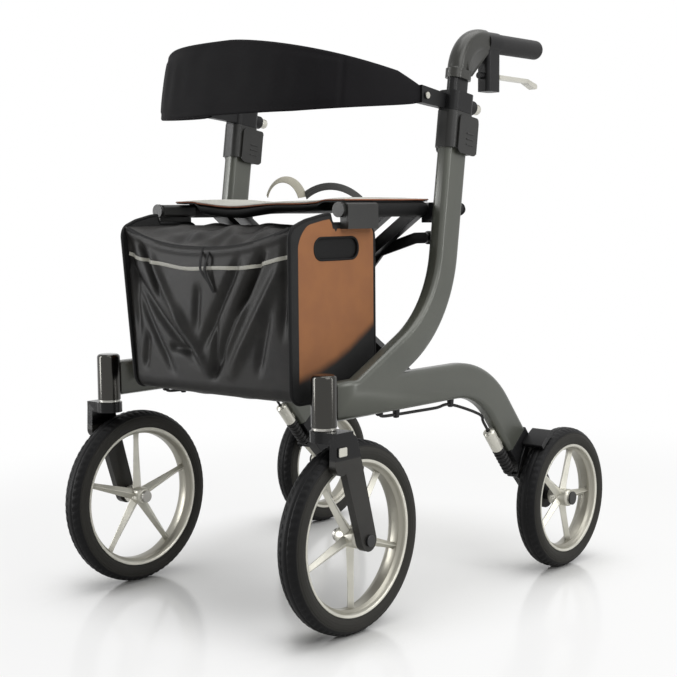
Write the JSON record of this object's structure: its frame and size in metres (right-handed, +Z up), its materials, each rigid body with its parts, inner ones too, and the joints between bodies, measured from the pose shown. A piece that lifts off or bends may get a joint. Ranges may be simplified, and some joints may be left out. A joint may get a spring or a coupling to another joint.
{
  "type": "all terrain rollator",
  "caption": "Folding outdoor walking frame on large air-tyred wheels, with height-adjustable handles, hand brakes, a fabric seat, a front bag and a padded back strap.",
  "frame": {"origin": "On the floor under the middle of the bounding box, at rest.", "axes": "+Z up from the floor, -Y the way it rolls, +X the left hand of the person who walks behind it."},
  "size_m": [0.6262, 0.819, 0.943],
  "materials": {
    "frame_grey": "satin anthracite",
    "black_plastic": "moulded",
    "clamp_grey": "moulded",
    "black_metal": "powder coat",
    "handle_grey": "satin",
    "black_rubber": "matte",
    "fork_black": "gloss",
    "silver_metal": "satin",
    "steel": "zinc plate",
    "rim_silver": "satin silver",
    "tyre_black": "matte",
    "seat_fabric": "woven, padded",
    "black_fabric": "nylon",
    "panel_brown": "smooth coated",
    "webbing": "woven webbing"
  },
  "bodies": {
    "left_frame": {"side_frame_left": "frame_grey", "axle_block_left": "black_plastic", "height_collar_left": "clamp_grey", "backrest_holder_left": "black_plastic", "head_bearings_left": "steel", "brake_barrel_left": "silver_metal", "brake_boot_left": "black_rubber", "brake_cable_left": "black_rubber", "seat_cradle_left": "black_plastic", "rear_axle_left": "steel", "seat_sling": "seat_fabric", "bag_body": "black_fabric", "bag_panels": "panel_brown", "backrest_strap": "black_fabric", "pull_straps": "webbing"},
    "right_frame": {"side_frame_right": "frame_grey", "axle_block_right": "black_plastic", "height_collar_right": "clamp_grey", "backrest_holder_right": "black_plastic", "head_bearings_right": "steel", "brake_barrel_right": "silver_metal", "brake_boot_right": "black_rubber", "brake_cable_right": "black_rubber", "seat_cradle_right": "black_plastic", "rear_axle_right": "steel"},
    "x_brace_left": {"x_brace_left": "black_metal", "seat_tube_right": "handle_grey", "cross_bolt": "steel"},
    "x_brace_right": {"x_brace_right": "black_metal", "seat_tube_left": "handle_grey"},
    "stabiliser_link_left": {"stabiliser_link_left": "black_metal"},
    "caster_left": {"fork_left": "fork_black", "front_axle_left": "steel"},
    "front_wheel_left": {"front_tyre_left": "tyre_black", "front_rim_left": "rim_silver"},
    "rear_wheel_left": {"rear_tyre_left": "tyre_black", "rear_rim_left": "rim_silver"},
    "handle_left": {"handle_stem_left": "black_metal", "handlebar_left": "handle_grey", "grip_left": "black_rubber", "brake_housing_left": "black_plastic"},
    "brake_lever_left": {"brake_lever_left": "silver_metal"},
    "brake_arm_left": {"brake_arm_left": "handle_grey"},
    "collar_lever_left": {"collar_lever_left": "clamp_grey"},
    "backrest_knob_left": {"backrest_knob_left": "silver_metal"},
    "stabiliser_link_right": {"stabiliser_link_right": "black_metal"},
    "caster_right": {"fork_right": "fork_black", "front_axle_right": "steel"},
    "front_wheel_right": {"front_tyre_right": "tyre_black", "front_rim_right": "rim_silver"},
    "rear_wheel_right": {"rear_tyre_right": "tyre_black", "rear_rim_right": "rim_silver"},
    "handle_right": {"handle_stem_right": "black_metal", "handlebar_right": "handle_grey", "grip_right": "black_rubber", "brake_housing_right": "black_plastic"},
    "brake_lever_right": {"brake_lever_right": "silver_metal"},
    "brake_arm_right": {"brake_arm_right": "handle_grey"},
    "collar_lever_right": {"collar_lever_right": "clamp_grey"},
    "backrest_knob_right": {"backrest_knob_right": "silver_metal"}
  },
  "joints": [
    {"name": "fold", "type": "hinge", "parent": "left_frame", "child": "x_brace_left", "pos_m": [0.205, -0.06931, 0.3619], "axis": [0, 1, 0], "range_deg": [0, 37.5], "deforming": ["seat_sling", "bag_body", "bag_panels", "backrest_strap", "pull_straps"]},
    {"name": "cross_pivot", "type": "hinge", "parent": "x_brace_left", "child": "x_brace_right", "pos_m": [0, -0.06931, 0.50445], "axis": [0, 1, 0], "range_deg": [-75, 0]},
    {"name": "right_frame_pivot", "type": "hinge", "parent": "x_brace_right", "child": "right_frame", "pos_m": [-0.205, -0.06931, 0.3619], "axis": [0, 1, 0], "range_deg": [0, 37.5]},
    {"name": "link_left_pivot", "type": "hinge", "parent": "left_frame", "child": "stabiliser_link_left", "pos_m": [0.205, 0.00216, 0.5995], "axis": [0, 1, 0], "range_deg": [-37.5, 0]},
    {"name": "link_right_pivot", "type": "hinge", "parent": "right_frame", "child": "stabiliser_link_right", "pos_m": [-0.205, 0.00216, 0.5995], "axis": [0, 1, 0], "range_deg": [0, 37.5]},
    {"name": "caster_turn_left", "type": "hinge", "parent": "left_frame", "child": "caster_left", "pos_m": [0.245, -0.3165, 0.3269], "axis": [0, 0, 1], "continuous": true},
    {"name": "front_wheel_spin_left", "type": "hinge", "parent": "caster_left", "child": "front_wheel_left", "pos_m": [0.245, -0.2595, 0.15], "axis": [1, 0, 0], "continuous": true},
    {"name": "rear_wheel_spin_left", "type": "hinge", "parent": "left_frame", "child": "rear_wheel_left", "pos_m": [0.28725, 0.2835, 0.126], "axis": [1, 0, 0], "continuous": true},
    {"name": "handle_slide_left", "type": "slide", "parent": "left_frame", "child": "handle_left", "axis": [0, 0.1444, 0.9895], "range_m": [0, 0.12]},
    {"name": "brake_squeeze_left", "type": "hinge", "parent": "handle_left", "child": "brake_lever_left", "pos_m": [0.245, 0.11983, 0.869], "axis": [1, 0, 0], "range_deg": [0, 14], "stiffness_Nm_per_rad": 1.2, "springref_deg": -6.88},
    {"name": "brake_arm_swing_left", "type": "hinge", "parent": "left_frame", "child": "brake_arm_left", "pos_m": [0.245, 0.20026, 0.20497], "axis": [-1, 0, 0], "range_deg": [0, 5]},
    {"name": "height_clamp_left", "type": "hinge", "parent": "left_frame", "child": "collar_lever_left", "pos_m": [0.245, 0.04949, 0.78838], "axis": [1, 0, 0], "range_deg": [0, 80]},
    {"name": "knob_turn_left", "type": "hinge", "parent": "left_frame", "child": "backrest_knob_left", "pos_m": [0.245, 0.01775, 0.81878], "axis": [0, 0.9895, -0.1444], "continuous": true},
    {"name": "caster_turn_right", "type": "hinge", "parent": "right_frame", "child": "caster_right", "pos_m": [-0.245, -0.3165, 0.3269], "axis": [0, 0, 1], "continuous": true},
    {"name": "front_wheel_spin_right", "type": "hinge", "parent": "caster_right", "child": "front_wheel_right", "pos_m": [-0.245, -0.2595, 0.15], "axis": [1, 0, 0], "continuous": true},
    {"name": "rear_wheel_spin_right", "type": "hinge", "parent": "right_frame", "child": "rear_wheel_right", "pos_m": [-0.28725, 0.2835, 0.126], "axis": [1, 0, 0], "continuous": true},
    {"name": "handle_slide_right", "type": "slide", "parent": "right_frame", "child": "handle_right", "axis": [0, 0.1444, 0.9895], "range_m": [0, 0.12]},
    {"name": "brake_squeeze_right", "type": "hinge", "parent": "handle_right", "child": "brake_lever_right", "pos_m": [-0.245, 0.11983, 0.869], "axis": [1, 0, 0], "range_deg": [0, 14], "stiffness_Nm_per_rad": 1.2, "springref_deg": -6.88},
    {"name": "brake_arm_swing_right", "type": "hinge", "parent": "right_frame", "child": "brake_arm_right", "pos_m": [-0.245, 0.20026, 0.20497], "axis": [-1, 0, 0], "range_deg": [0, 5]},
    {"name": "height_clamp_right", "type": "hinge", "parent": "right_frame", "child": "collar_lever_right", "pos_m": [-0.245, 0.04949, 0.78838], "axis": [1, 0, 0], "range_deg": [0, 80]},
    {"name": "knob_turn_right", "type": "hinge", "parent": "right_frame", "child": "backrest_knob_right", "pos_m": [-0.245, 0.01775, 0.81878], "axis": [0, 0.9895, -0.1444], "continuous": true}
  ],
  "couplings": [
    {"joint": "cross_pivot", "follows": "fold", "ratio": -2},
    {"joint": "right_frame_pivot", "follows": "fold", "ratio": 1},
    {"joint": "link_left_pivot", "follows": "fold", "ratio": -1},
    {"joint": "link_right_pivot", "follows": "fold", "ratio": 1},
    {"joint": "brake_arm_swing_left", "follows": "brake_squeeze_left", "ratio": 0.35714},
    {"joint": "brake_arm_swing_right", "follows": "brake_squeeze_right", "ratio": 0.35714}
  ]
}
